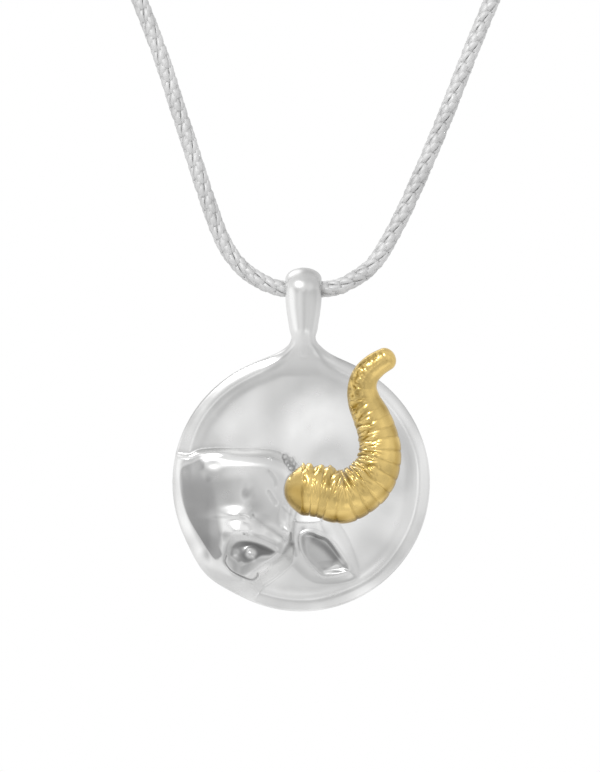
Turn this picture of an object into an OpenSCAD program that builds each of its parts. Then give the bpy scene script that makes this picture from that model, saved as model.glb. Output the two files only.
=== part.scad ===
// Round silver zodiac pendant: a horned animal's head in high relief with one gold horn, on its chain.
// Millimetres. X runs to the right of the front view, Y to the back and Z up.
// The origin is the middle of the clasp at the nape. The pendant hangs at the front of the chain.

/* [Disc] */
// Diameter of the disc
disc_d = 22; // [18:0.5:28]
// Thickness of the dished face
face_t = 1.3; // [1:0.1:2]
// Depth of the face's shallow dish at its middle
face_dish = 0.25; // [0:0.05:0.4]
// How far the rim stands above the face
rim_rise = 0.14; // [0:0.02:0.4]
// Distance from the edge to the rim's crest
rim_in = 1; // [0.6:0.1:1.4]
// Half width of the rim's rounded crest
rim_half = 0.6; // [0.3:0.05:1]
// Radius of the rounded edge of the front
edge_round = 0.85; // [0.3:0.05:1]
// Height of the edge's wall, where the front rounding starts
wall_t = 1.1; // [0.7:0.05:1.3]
// Outward swelling of the edge where the head reaches it
edge_swell = 0.3; // [0:0.05:0.6]

/* [Head] */
// Height of the head above the face
head_rise = 2.55; // [1.5:0.05:3]
// Width of the rounded border along the top of the head
head_border = 1.7; // [1:0.1:2.5]
// Width of the rounded border along the jaw
jaw_border = 2; // [1:0.1:2.5]
// Fall of the cheek toward the disc's left edge, for each millimetre past its bend
cheek_fall = 0.4; // [0.2:0.02:0.6]
// Depth of the eye's hollow
eye_deep = 0.32; // [0.2:0.02:0.7]
// Height of the ear above the face
ear_rise = 0.6; // [0.4:0.05:1.5]
// Depth of the hollow inside the ear
ear_deep = 0.48; // [0.2:0.02:0.8]
// Width of the soft slope around the ear
ear_skirt = 1.6; // [0.5:0.1:1.8]

/* [Bail] */
// Widest width of the bail, at its top
bail_w = 3.1; // [2:0.1:4]
// Width of the bail's neck, at the disc
neck_w = 2.15; // [1.5:0.05:3]
// Thickness of the bail's strap
strap_t = 1.3; // [0.8:0.05:1.4]
// How much thinner the strap is over the chain
top_thin = 0.3; // [0:0.05:0.4]
// Height of the chain's middle above the disc's middle
chain_rise = 16.5; // [14:0.1:20]
// Depth of the chain's middle in front of the disc's back, above the centre of mass
chain_depth = 1.65; // [1:0.05:3]
// Gap between the chain and the bail
chain_gap = 0.16; // [0.1:0.02:0.4]

/* [Horn] */
// Number of ribs along the horn
rib_count = 22; // [12:1:30]
// Height of a rib as a share of the horn's radius
rib_share = 0.07; // [0:0.01:0.15]
// Gap between the horn and the silver under it
seat_gap = 0.08; // [0.05:0.01:0.3]

/* [Chain] */
// Thickness of the chain
chain_d = 1.42; // [1:0.02:2]
// Length of the barrel clasp
clasp_l = 9; // [6:0.5:14]
// Diameter of the barrel clasp
clasp_d = 3.6; // [3:0.1:5]

/* [Hidden] */

silver = [0.83, 0.83, 0.84];
gold = [0.83, 0.66, 0.3];

disc_r = disc_d / 2;
// Radius of the dish in the face.
dish_r = disc_r - 1.4;
// Middle of the chain inside the bail, and the middle of the disc's back.
hinge = [-1, -118, -172];
bail_x = 0.2;
disc_x = hinge.x - bail_x;
disc_y = hinge.y + chain_depth;
disc_z = hinge.z - chain_rise;

// The edge's swelling at the head and its flare into the bail: angle, half width and rise.
swell_at = 224;
swell_w = 11;
flare_at = 88.6;
flare_w = 5;
flare_rise = 1.2;

// Grid of the medallion: rings from a pole in the head out to the edge, and points around each ring.
pole = [-2.6, -4.2];
ring_points = 144;
// Rings past this share of the radius are centred on the disc.
round_from = 0.88;
// Stretches of rings: last share of the radius, number of rings, points around each.
ring_stretches = [
  [0.13, 6, ring_points / 4],
  [0.27, 8, ring_points / 2],
  [0.55, 14, ring_points],
  [round_from, 9, ring_points]
];
rim_shares = [0.905, 0.925, 0.943, 0.959, 0.973, 0.985, 0.994, 1];

// The head's outline on the disc, from the left edge over the brow, down the jaw to the lower edge.
head_outline = [
  [-12.5, 1.2], [-9.6, 2.35], [-8.2, 2.85], [-3.3, 2.9], [-1.5, 2.45], [-0.2, 1.5], [0.6, -0.6],
  [-0.3, -2.6], [-0.55, -4.4], [-0.4, -6.4], [-1.6, -7.8], [-3.8, -9.6], [-5, -12.5], [-12.5, -12.5]
];

// Where the cheek starts to bend down, to the left of this x, and how far the bend goes on.
cheek_from = -3.5;
cheek_bend = 5;
// The jaw falls for each millimetre past a slanting line, which starts softly.
jaw_fall = 0.34;
jaw_way = [0.5, -0.87];
jaw_from = 3.6;
jaw_soft = 0.6;
// The nose falls for each millimetre below nose_top, to the left of nose_from.
nose_fall = 0.1;
nose_top = 1.5;
nose_from = -5;
nose_over = 3;
// The head's border widens from the brow's width to the jaw's below this height, over this stretch.
jaw_border_top = -4;
jaw_border_over = 3;
// Along the jaw this share of the border is a soft slope of this width, from this height down.
jaw_slope_share = 0.75;
jaw_slope_w = 1.8;
jaw_slope_top = -4.6;
jaw_slope_over = 2;
// Edge of the head's top on the left: distance in from the outline and share of the height there,
// where that profile starts to the left and upward, and over what way, and where it ends inward.
chamfer = [[0, 0], [0.25, 0.7], [0.7, 0.8]];
chamfer_left = -5.6;
chamfer_left_over = 1.6;
chamfer_low = -0.5;
chamfer_in = 0.75;
chamfer_in_over = 0.2;
// The border is narrower around the knob beside the ear: x, z, radius, and the share that goes.
knob = [-0.9, -4.15, 0.9, 0.6];
// Width over which the head's foot rises steeply from the disc.
head_foot = 0.7;
// How much rounder the disc's edge is at the head, and then toward the jaw, from this height down.
head_round = 0.1;
jaw_round = 0.45;
jaw_round_top = -1;
jaw_round_over = 5;

// The ear's soft foot on the disc, and the edge of its hollow.
ear_foot = [
  [-2, -1.5], [2.2, -2], [3.4, -3.6], [4.2, -5], [4.8, -6.6], [5, -8.1],
  [3.6, -8.75], [1, -8.6], [-0.9, -7.1], [-2, -5.6]
];
ear_edge = [
  [-0.05, -4.5], [0.4, -4.15], [1.6, -4.4], [2.25, -4.65], [3.3, -5.9], [4.15, -7.5],
  [3.3, -7.8], [2.2, -8], [1.1, -7.3], [0.1, -6]
];
// Deepest line of the ear's hollow, its reach, and the depth at the hollow's edge as a share.
ear_valley = [[1.1, -4.9], [2.1, -5.6], [2.9, -6.5], [2.7, -7.1]];
valley_reach = 1.7;
ear_shelf = 0.13;
ear_wall = 0.6;
// The hollow's floor runs out at this height, at this slope.
ear_floor_end = -7.95;
ear_floor_slope = 0.75;

// The eye's almond, how its sloping wall lies about it, and where its floor runs out below.
eye_outline = [
  [-6.15, -6.25], [-6.05, -5.5], [-5.2, -4.8], [-4.5, -4.8], [-2.85, -5.3],
  [-2.1, -5.8], [-3.35, -6.35], [-4.7, -6.95], [-5.2, -7.1]
];
eye_wall = 1;
eye_wall_out = 0.35;
eye_low = -7.2;
eye_slope = 2;

// Lumps and hollows of the head: x, z, half length, half width, turn in degrees, height.
features = [
  // forehead, with the flat under the top border and its fall to the left edge
  [-7.3, 0.7, 1.3, 0.9, 0, 0.1],
  [-7.4, 1.6, 0.8, 0.5, 8, -0.16],
  [-9.8, 1.3, 0.9, 0.9, 0, -0.22],
  // temple, widening down to a knob beside the ear
  [-2.4, -1.3, 2.5, 1.5, -58, 0.27],
  [-0.95, -4.15, 0.6, 0.45, -60, 0.3],
  // hollow in front of the temple
  [-4.55, -0.75, 0.75, 0.5, 75, -0.1],
  // cheek in front of the jaw's edge
  [-1.4, -6.5, 1.5, 0.9, 60, 0.22],
  // eyeball
  [-4.28, -6, 0.5, 0.48, 0, 0.4],
  // tuft beside the horn
  [-1, 1.7, 0.45, 0.45, 0, 0.3]
];
// Folds of the brow: x, z, half length, half width above and below their crest, height.
brow_folds = [
  [-6.05, -2.7, 1.6, 0.6, 0.3, 0.33],
  [-5.7, -4, 1.35, 0.95, 0.5, 0.5]
];
// Silver that rises under the horn, in the columns of the lumps.
horn_bed = [0.5, -1.6, 1.6, 0.75, 0, 0.8];
horn_bed_edge = 0.8;
// Ledge that tilts up along the horn's lower edge: its middle, half length, lower edge, how much
// that bows up at its ends, height there, slope, reach under the horn, and the softness of its ends
// and of its lower edge.
ledge_x = 0.6;
ledge_half = 1.25;
ledge_z = -3.45;
ledge_bow = 0.12;
ledge_rise = 0.95;
ledge_slope = 0.36;
ledge_reach = 2;
ledge_end = 0.4;
ledge_edge = 0.4;

// Ridge and crease of the head: half width, height and the points of its line.
upper_lid = [0.45, 0.08, [
  [-6.75, -6.1], [-6.1, -4.7], [-5.2, -4.25], [-4, -4.4], [-2.6, -5], [-1.4, -5.5]
]];
furrow = [0.36, -0.17, [
  [-4.2, -2.75], [-3.5, -3.35], [-2.6, -3.95], [-1.7, -4.55], [-1.2, -4.75]
]];

// The strap widens over this stretch up the disc, and thins along each leg past its full part.
widen_from = 11.6;
widen_over = 4.4;
leg_full = 3;
leg_taper = 3.8;
leg_thin = 0.85;
// The bail's foot on the disc: how far it stands proud of the strap, its soft blend, the heights
// between which it lies, and where it starts to flare and to drop, both with the square of the way.
foot_proud = 0.1;
foot_blend = 0.5;
foot_low = 7.5;
foot_top = 13;
flare_from = 12.6;
flare_out = 0.3;
drop_from = 10.4;
drop_in = 0.2;
// Slope of the foot's sides past its flared width.
foot_side = 1;
// Radius of the bail's hole, and the angles at which its two legs leave the round top.
hole_r = chain_d / 2 + chain_gap;
front_lean = 102;
back_lean = -92;

// The horn's route: x, z, depth of its middle in front of the disc's back, radius.
horn_route = [
  [0.05, -0.6, 3.75, 2.15],
  [1.0, -0.62, 3.75, 2.2],
  [2.2, -0.85, 3.75, 2.25],
  [3.4, -1.15, 3.75, 2.28],
  [4.6, -0.75, 3.72, 2.2],
  [5.7, 0.1, 3.68, 2.1],
  [6.45, 1.3, 3.62, 1.95],
  [6.7, 2.8, 3.5, 1.8],
  [6.5, 4.2, 3.35, 1.68],
  [6.0, 5.6, 3.2, 1.58],
  [5.4, 6.9, 3.1, 1.42],
  [5.2, 8.1, 3.2, 1.26],
  [5.5, 9.15, 3.35, 1.16],
  [6.3, 10.0, 3.45, 1.08],
  [7.2, 10.55, 3.45, 1.0]
];
horn_sides = 16;
rings_a_rib = 3;
// Share of a rib's height that is lost toward the tip.
rib_fade = 0.6;
// Lengths of the blunt cap at the base and of the round one at the tip, and the blunt cap's power.
base_cap = 1.5;
tip_cap = 0.85;
cap_power = 0.45;
// Room for the facets of both, beside the gap itself.
seat_air = seat_gap + 0.05;

// The chain's route, from the clasp's right end over the right shoulder, through the bail and back.
chain_route = [
  [2.2, 0, 0],
  [7, -0.15, -0.1],
  [20, -3.5, -2.5],
  [38, -14, -8],
  [51, -32, -16],
  [57, -54, -28],
  [55.5, -76, -46],
  [48, -91, -70],
  [38, -101, -94],
  [26.5, -109, -121],
  [15.1, -114.6, -147.3],
  [11, -115.9, -157.5],
  [8.2, -116.7, -164],
  [6.4, -117.2, -167.6],
  [4.9, -117.5, -169.9],
  [3, -117.9, -171.3],
  [1.4, -118, -171.9],
  [-1, -118, -172],
  [-3, -118, -171.9],
  [-4.6, -117.9, -171.3],
  [-6.3, -117.5, -170.1],
  [-7.8, -117.1, -168],
  [-9.2, -116.6, -164.4],
  [-11.5, -115.8, -157.3],
  [-15, -114.6, -147.3],
  [-26, -109, -121],
  [-38, -101, -94],
  [-48, -91, -70],
  [-55.5, -76, -46],
  [-57, -54, -28],
  [-51, -32, -16],
  [-38, -14, -8],
  [-20, -3.5, -2.5],
  [-7, -0.15, -0.1],
  [-2.2, 0, 0]
];
chain_sides = 8;
// Rings on each stretch of the route, from the clasp to the bail: more where it bends.
chain_steps = [1, 2, 3, 3, 3, 3, 3, 2, 1, 1, 1, 2, 2, 2, 2, 2, 2];
// Room around the chain's end in the clasp's hole, where the hole ends, and the clasp's chamfer.
clasp_room = 0.16;
hole_end = 2;
chamfer_r = 0.6;
chamfer_l = 0.8;

function clamp01(t) = max(0, min(1, t));
function ease(t) = let (q = clamp01(t)) q * q * (3 - 2 * q);
function round_over(t) = let (q = 1 - clamp01(t)) sqrt(1 - q * q);
function bell(t) = exp(-t * t);

// The larger of two heights, with the step between them rounded.
function smooth_max(a, b, blend) =
  let (share = clamp01(0.5 + 0.5 * (a - b) / blend))
  b + (a - b) * share + blend * share * (1 - share);

// Distance from p to the stretch a to b.
function stretch_d(p, a, b) =
  let (v = b - a, t = clamp01((p - a) * v / (v * v)))
  norm(p - a - t * v);

// Distance from p to a line through points.
function line_d(p, points) =
  min([for (i = [0:len(points) - 2]) stretch_d(p, points[i], points[i + 1])]);

// Number of the outline's edges that a ray from p to the right crosses.
function crossings(p, outline) =
  let (n = len(outline))
  len([for (i = [0:n - 1])
    let (a = outline[i], b = outline[(i + 1) % n])
    if ((a.y > p.y) != (b.y > p.y) && p.x < a.x + (p.y - a.y) * (b.x - a.x) / (b.y - a.y)) 1]);

// Distance from p to an outline, positive inside.
function inside_d(p, outline) =
  let (n = len(outline))
  (crossings(p, outline) % 2 == 1 ? 1 : -1)
    * min([for (i = [0:n - 1]) stretch_d(p, outline[i], outline[(i + 1) % n])]);

// Height of one row of the features table at p.
function lump(p, row) =
  let (
    dx = p.x - row[0],
    dz = p.y - row[1],
    u = (dx * cos(row[4]) + dz * sin(row[4])) / row[2],
    v = (dz * cos(row[4]) - dx * sin(row[4])) / row[3]
  )
  row[5] * exp(-u * u - v * v);

// Height of one fold of the brow at p, which is gentle above its crest and steep below.
function brow_fold(p, row) =
  let (up = p.y - row[1])
  row[5] * bell((p.x - row[0]) / row[2]) * bell(up / (up > 0 ? row[3] : row[4]));

// Height of a ridge or crease at p.
function stroke(p, row) = row[1] * bell(line_d(p, row[2]) / row[0]);

function total(values, i = 0) = i >= len(values) ? 0 : values[i] + total(values, i + 1);

// Radius of the disc's edge: it swells at the head and flares up into the bail's neck.
function edge_r(a) =
  disc_r + edge_swell * bell((a - swell_at) / swell_w)
    + flare_rise * exp(-max(0, abs(a - flare_at) - flare_w) / flare_w);

// How far the head's surface falls toward the cheek, the nose and the jaw.
function head_fall(p) =
  let (
    bend = (cheek_from - p.x) / cheek_bend,
    q = clamp01(bend),
    down = jaw_way * p - jaw_from
  )
  cheek_fall * cheek_bend * (q * q * q * (1 - q / 2) + max(bend - 1, 0))
    + nose_fall * (nose_top - p.y) * ease((nose_from - p.x) / nose_over)
    + jaw_fall / 2 * (down + sqrt(down * down + jaw_soft));

// Depth of the eye's hollow at p.
function eye_d(p) =
  eye_deep * ease(eye_wall_out + inside_d(p, eye_outline) / eye_wall)
    * clamp01((p.y - eye_low) / eye_slope);

// Height of the head above the face.
function head_h(p) =
  let (
    inside = inside_d(p, head_outline),
    wide = head_border + (jaw_border - head_border) * ease((jaw_border_top - p.y) / jaw_border_over),
    border = wide * (1 - knob[3] * bell(norm(p - [knob[0], knob[1]]) / knob[2])),
    steep = round_over(inside / border) * ease(inside / head_foot),
    top_left = ease((chamfer_in - inside) / chamfer_in_over)
      * ease((chamfer_left - p.x) / chamfer_left_over) * ease(p.y - chamfer_low),
    edge = steep + (lookup(inside, chamfer) - steep) * top_left,
    soft = jaw_slope_share * ease((jaw_slope_top - p.y) / jaw_slope_over),
    cover = edge + (ease(inside / jaw_slope_w) - edge) * soft,
    lumps = total([for (row = features) lump(p, row)]) + total([for (row = brow_folds) brow_fold(p, row)])
  )
  cover * (head_rise - head_fall(p) + lumps + stroke(p, upper_lid) + stroke(p, furrow) - eye_d(p));

// Height of the ear above the face: a soft mound with a hollow, and the silver under the horn.
function ear_h(p) =
  let (
    foot = inside_d(p, ear_foot),
    slant = clamp01(1 - line_d(p, ear_valley) / valley_reach),
    floor_d = min(ear_deep * (ear_shelf + (1 - ear_shelf) * slant),
      ear_floor_slope * max(p.y - ear_floor_end, 0))
  )
  ear_rise * ease(foot / ear_skirt) - floor_d * ease(inside_d(p, ear_edge) / ear_wall)
    + lump(p, horn_bed) * ease(foot / horn_bed_edge);

// Height of the ledge under the horn above the face.
function ledge_h(p) =
  let (
    aside = abs(p.x - ledge_x),
    up = p.y - ledge_z - ledge_bow * pow(aside / ledge_half, 2),
    ends = ease((ledge_half - aside) / ledge_end + 0.5)
  )
  up > ledge_reach ? 0 : (ledge_rise - ledge_slope * max(up, 0)) * ends * ease(up / ledge_edge + 0.5);

// Highest the silver may be at p without touching the horn, whose base ends in a blunt cap.
function seat_h(p) =
  min([for (i = [0:len(horn_route) - 2])
    let (
      row = horn_route[i],
      next = horn_route[i + 1],
      v = [next[0], next[1]] - [row[0], row[1]],
      w = p - [row[0], row[1]],
      step = w * v / (v * v),
      here = row + clamp01(step) * (next - row),
      behind = i == 0 && step < 0,
      cap = 1 + (step * norm(v) + seat_air) / base_cap,
      r = (behind ? here[3] * pow(clamp01(cap), cap_power) : here[3] * (1 + rib_share)) + seat_air,
      d = behind ? abs(w.x * v.y - w.y * v.x) / norm(v) : norm(p - [here[0], here[1]])
    )
    d < r && cap > 0 ? here[2] - sqrt(r * r - d * d) : 99]);

// Half width of the bail's strap at a height up the disc, and its thickness along a leg.
function strap_half(z) = (neck_w + (bail_w - neck_w) * ease((z - widen_from) / widen_over)) / 2;
function strap_thick(l) = strap_t * (1 - leg_thin * ease((l - leg_full) / leg_taper));

// Height of the bail's foot, which carries its front leg out over the disc.
function foot_h(p) =
  let (
    z = min(p.y, foot_top),
    l = (chain_rise + hole_r * cos(front_lean) - z) / sin(front_lean),
    inner = chain_depth + hole_r * sin(front_lean) + l * cos(front_lean),
    beside = abs(p.x - bail_x),
    spread = strap_half(z) + flare_out * pow(max(flare_from - p.y, 0), 2),
    across = min(1, beside / spread),
    dome = strap_thick(l) * sqrt(1 - across * across)
  )
  inner + dome + foot_proud - drop_in * pow(max(drop_from - p.y, 0), 2)
    - foot_side * max(beside - spread, 0);

// Height of the medallion's front above its flat back.
function front_h(p) =
  let (
    a = atan2(p.y, p.x),
    r = norm(p),
    t = edge_r(a < 0 ? a + 360 : a) - r,
    raised = max(head_h(p), ear_h(p), ledge_h(p), 0),
    dish = face_dish * clamp01(1 - r * r / (dish_r * dish_r)),
    rim = rim_rise * bell((t - rim_in) / rim_half) * (1 - clamp01(raised)),
    face = face_t - dish + rim + raised,
    full = p.y > foot_low ? smooth_max(face, foot_h(p), foot_blend) : face,
    held = min(full, seat_h(p)),
    low = ease((jaw_round_top - p.y) / jaw_round_over),
    rounding = edge_round + clamp01(raised) * (head_round + jaw_round * low)
  )
  wall_t + (held - wall_t) * round_over(t / rounding);

function grid_point(s, a) =
  let (m = max(0, 1 - s / round_from), r = edge_r(a) * s)
  [pole.x * m + r * cos(a), pole.y * m + r * sin(a)];

// Each ring of the front as its share of the radius and its number of points.
front_rings = concat(
  [for (i = [0:len(ring_stretches) - 1])
    let (
      from = i == 0 ? 0 : ring_stretches[i - 1][0],
      row = ring_stretches[i]
    )
    for (k = [1:row[1]]) [from + (row[0] - from) * k / row[1], row[2]]],
  [for (s = rim_shares) [s, ring_points]]
);

// Rings of the back: distance in from the edge and height above the back's plane.
back_rings = [[0, 0.45], [0.12, 0.12], [0.42, 0]];

function at_disc(x, h, z) = [disc_x + x, disc_y - h, disc_z + z];

// Two triangles over four points, split along the shorter diagonal.
function split(points, p, q, r, s) =
  norm(points[p] - points[r]) <= norm(points[q] - points[s])
    ? [[p, q, r], [p, r, s]]
    : [[p, q, s], [q, r, s]];

// Triangles between a ring of n points from a and a ring of n or 2 n points from b.
function band(points, a, n, b, m) = [
  for (i = [0:n - 1])
    let (j = (i + 1) % n)
    each m == n
      ? split(points, a + i, a + j, b + j, b + i)
      : let (k = b + 2 * i, l = b + (2 * i + 2) % m)
        [[a + i, k + 1, k], [a + i, a + j, k + 1], [a + j, l, k + 1]]
];

function starts(rings, i = 0, at = 1) =
  i >= len(rings) ? [] : concat([at], starts(rings, i + 1, at + len(rings[i])));

// Closed skin over rings of points, with a point before the first ring and one after the last.
module skin(first, rings, last) {
  points = concat([first], [for (r = rings) each r], [last]);
  at = starts(rings);
  final = len(rings) - 1;
  n = len(rings[0]);
  m = len(rings[final]);
  polyhedron(
    points = points,
    faces = concat(
      [for (i = [0:n - 1]) [0, 1 + (i + 1) % n, 1 + i]],
      [for (k = [0:final - 1]) each band(points, at[k], len(rings[k]), at[k + 1], len(rings[k + 1]))],
      [for (i = [0:m - 1]) [len(points) - 1, at[final] + i, at[final] + (i + 1) % m]]
    ),
    convexity = 8
  );
}

module disc_and_head() {
  front = [for (row = front_rings)
    [for (i = [0:row[1] - 1])
      let (p = grid_point(row[0], i * 360 / row[1])) at_disc(p.x, front_h(p), p.y)]];
  back = [for (row = back_rings)
    [for (i = [0:ring_points - 1])
      let (a = i * 360 / ring_points, r = edge_r(a) - row[0])
      at_disc(r * cos(a), row[1], r * sin(a))]];
  skin(at_disc(pole.x, front_h(pole), pole.y), concat(front, back), at_disc(0, 0, 0));
}

// Stations of the bail's strap: the angle of its outside, and the distance down its leg.
front_leg = [0.8, 1.8, 2.8, 3.8, 4.8, 5.8, 6.8];
back_leg = [5.2, 4.2, 3, 1.8, 0.8];
strap_stations = concat(
  [for (l = back_leg) [back_lean, l]],
  [for (k = [0:12]) [back_lean + k * (front_lean - back_lean) / 12, 0]],
  [for (l = front_leg) [front_lean, l]]
);

// One cross-section of the strap: domed outside and flat inside.
function strap_ring(station) =
  let (
    a = station[0],
    l = station[1],
    way = a > 0 ? 1 : -1,
    h = chain_depth + hole_r * sin(a) + way * l * cos(a),
    z = chain_rise + hole_r * cos(a) - way * l * sin(a),
    half = strap_half(z)
  )
  [for (k = [0:9])
    let (b = 180 - k * 20, out = (strap_thick(l) - top_thin * max(cos(a), 0)) * sin(b))
    at_disc(bail_x + half * cos(b), h + out * sin(a), z + out * cos(a))];

function middle_of(points) = [for (k = [0:2]) total([for (p = points) p[k]]) / len(points)];

module bail() {
  rings = [for (s = strap_stations) strap_ring(s)];
  skin(middle_of(rings[0]), rings, middle_of(rings[len(rings) - 1]));
}

// Smooth curve through the rows of a route, at share t of the stretch from row i to the next.
function through(route, i, t) =
  let (
    n = len(route),
    p0 = route[max(i - 1, 0)],
    p1 = route[i],
    p2 = route[min(i + 1, n - 1)],
    p3 = route[min(i + 2, n - 1)]
  )
  0.5 * (2 * p1 + (p2 - p0) * t + (2 * p0 - 5 * p1 + 4 * p2 - p3) * t * t
    + (3 * p1 - p0 - 3 * p2 + p3) * t * t * t);

function along(route, share) =
  let (f = share * (len(route) - 1), i = min(floor(f), len(route) - 2))
  through(route, i, f - i);

function unit(v) = v / norm(v);

// Ring of n points around a middle, square to the direction.
function ring_around(middle, direction, r, n) =
  let (
    side = unit(cross(direction, [0, 1, 0])),
    up = unit(cross(side, direction))
  )
  [for (i = [0:n - 1]) middle + r * (cos(i * 360 / n) * side + sin(i * 360 / n) * up)];

// The horn's middle as a point in space, its direction and its plain radius.
function horn_middle(share) = let (q = along(horn_route, share)) at_disc(q[0], q[2], q[1]);
function horn_direction(share) =
  unit(horn_middle(min(1, share + 0.01)) - horn_middle(max(0, share - 0.01)));
function horn_radius(share) = along(horn_route, share)[3];

// A rib leans up slowly and drops quickly: its height for each of the rings that make it.
rib_steps = [-0.5, 0.5, 1];

module horn_body() {
  ring_total = rib_count * rings_a_rib;
  base_rings = [for (q = [0.12, 0.35, 0.65])
    ring_around(horn_middle(0) - horn_direction(0) * base_cap * (1 - q), horn_direction(0),
      horn_radius(0) * pow(q, cap_power), horn_sides)];
  body_rings = [for (k = [0:ring_total - 1])
    let (
      share = k / (ring_total - 1),
      rib = rib_share * rib_steps[k % rings_a_rib] * (1 - rib_fade * share)
    )
    ring_around(horn_middle(share), horn_direction(share), horn_radius(share) * (1 + rib), horn_sides)];
  tip_rings = [for (q = [0.4, 0.75, 0.95])
    ring_around(horn_middle(1) + horn_direction(1) * tip_cap * q, horn_direction(1),
      horn_radius(1) * sqrt(1 - q * q), horn_sides)];
  skin(
    horn_middle(0) - horn_direction(0) * base_cap,
    concat(base_rings, body_rings, tip_rings),
    horn_middle(1) + horn_direction(1) * tip_cap
  );
}

module medallion() {
  color(silver)
    union() {
      disc_and_head();
      bail();
    }
}

module horn() {
  color(gold)
    horn_body();
}

module chain() {
  stretches = len(chain_route) - 1;
  shares = concat(
    [for (i = [0:stretches - 1])
      let (steps = chain_steps[min(i, stretches - 1 - i)])
      for (j = [0:steps - 1]) (i + j / steps) / stretches],
    [1]
  );
  function middle(share) = along(chain_route, share);
  function way(share) = unit(middle(min(1, share + 0.002)) - middle(max(0, share - 0.002)));
  function tube_ring(share) =
    let (
      direction = way(share),
      side = unit(cross(direction, [0, 0.9, 0.45])),
      up = cross(side, direction)
    )
    [for (i = [0:chain_sides - 1])
      let (a = (i + 0.5) * 360 / chain_sides)
      middle(share) + chain_d / 2 * (cos(a) * side + sin(a) * up)];
  color(silver)
    skin(middle(0), [for (s = shares) tube_ring(s)], middle(1));
}

module clasp() {
  r = clasp_d / 2;
  half = clasp_l / 2;
  hole = chain_d / 2 + clasp_room;
  color(silver)
    rotate([0, 90, 0])
      rotate_extrude($fn = 48)
        polygon([
          [0, -hole_end], [hole, -hole_end], [hole, -half],
          [r - chamfer_r, -half], [r, -half + chamfer_l],
          [r, half - chamfer_l], [r - chamfer_r, half],
          [hole, half], [hole, hole_end], [0, hole_end]
        ]);
}

medallion();
horn();
chain();
clasp();
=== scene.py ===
"""Looks for the zodiac pendant: polished silver medallion, ribbed gold horn and twisted silver chain.

Shapes are worked out in millimetres from the same named sizes as the CAD source, then set in metres.
"""

import math

import bpy
import numpy as np
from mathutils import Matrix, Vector


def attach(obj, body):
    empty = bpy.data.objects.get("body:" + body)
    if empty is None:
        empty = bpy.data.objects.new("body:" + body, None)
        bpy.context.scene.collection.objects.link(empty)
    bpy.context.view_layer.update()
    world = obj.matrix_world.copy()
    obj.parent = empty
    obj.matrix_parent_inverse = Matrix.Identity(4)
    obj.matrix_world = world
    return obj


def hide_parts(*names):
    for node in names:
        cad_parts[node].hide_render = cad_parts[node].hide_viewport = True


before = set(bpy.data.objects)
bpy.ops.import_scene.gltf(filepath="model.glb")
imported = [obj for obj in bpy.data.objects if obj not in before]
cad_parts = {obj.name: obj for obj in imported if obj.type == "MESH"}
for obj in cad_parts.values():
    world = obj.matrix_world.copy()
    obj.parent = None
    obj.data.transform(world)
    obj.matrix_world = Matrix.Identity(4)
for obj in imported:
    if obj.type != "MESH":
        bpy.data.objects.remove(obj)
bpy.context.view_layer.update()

MM = 0.001

# Disc
DISC_R = 11.0
FACE_T = 1.3
FACE_DISH = 0.25
DISH_R = 9.6
RIM_RISE = 0.14
RIM_IN = 1.0
RIM_HALF = 0.6
WALL_T = 1.1
EDGE_ROUND = 0.85
FACE_WAVE = 0.05
FACE_WAVE_W = 7.0
FACE_WAVE_FROM = 0.6
BACK_WAVE = 0.02
BACK_WAVE_W = 8.0
# Swell of the edge at the jaw and its flare towards the bail: degrees, and millimetres of rise.
EDGE_SWELL = 0.3
SWELL_AT = 224
SWELL_W = 11
FLARE_AT = 88.6
FLARE_RISE = 1.2
FLARE_HALF = 5
FLARE_FADE = 5
# Round edge of the back: distance in and height of each ring.
BACK_EDGE = [(0, 0.75), (0, 0.45), (0.02, 0.3), (0.06, 0.18), (0.12, 0.1), (0.22, 0.03), (0.42, 0)]

# Head. A fade is the place where something starts and the width over which it comes in.
HEAD_RISE = 2.55
HEAD_TOP = 1.5
HEAD_BORDER = 1.7
FOOT_W = 0.2
CHEEK_FALL = 0.4
CHEEK_FROM = -3.5
CHEEK_BEND = 5.0
NOSE_FALL = 0.1
NOSE_FADE = (-5, 3)
JAW_BORDER = 2.0
JAW_FADE = (-4, 3)
JAW_SOFT = 1.8
JAW_SOFT_SHARE = 0.75
JAW_SOFT_FADE = (-4.6, 2.0)
JAW_FALL = 0.34
JAW_FROM = 3.6
JAW_BEND = 0.6
JAW_WAY = (0.5, -0.87)
JAW_ROUND = 0.45
JAW_ROUND_FADE = (-1, 5)
RELIEF_ROUND = 0.1
RELIEF_FADE = 0.4
EAR_RISE = 0.6
EAR_SKIRT_W = 1.6
EAR_RIM_RISE = 0.08
EAR_RIM_W = 0.13
EAR_RIM_FADE = 0.6
EAR_DEEP = 0.48
EAR_SHELF = 0.13
EAR_WALL = 0.5
EAR_VALLEY_W = 1.7
EAR_FLOOR_END = -7.95
EAR_FLOOR_SLOPE = 0.75

# Bail
BAIL_W = 3.1
NECK_W = 2.15
WIDTH_FADE = (11.6, 4.4)
STRAP_T = 1.3
LEG_START = 0.3
BACK_LEG = 5.2
FRONT_LEG = 5.6
LEG_THIN = 0.85
LEG_FADE = (3, 3.8)
TOP_THIN = 0.3
CHAIN_RISE = 16.5
CHAIN_DEPTH = 1.65
HOLE_R = 0.87
BAIL_X = 0.2
FRONT_LEAN = 102
BACK_LEAN = -92
FOOT_TOP = 13
FOOT_FROM = 12.6
FOOT_FLARE = 0.3
FOOT_END = 10.4
FOOT_DROP = 0.2
FOOT_SIDE = 1.0
FOOT_BLEND = 0.5
FOOT_LOW = 7.5
# Disc's edge that runs out under the bail: half width and fade up the disc.
UNDER_BAIL_W = 1.2
UNDER_BAIL_FADE = (10.2, 1.2)
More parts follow.
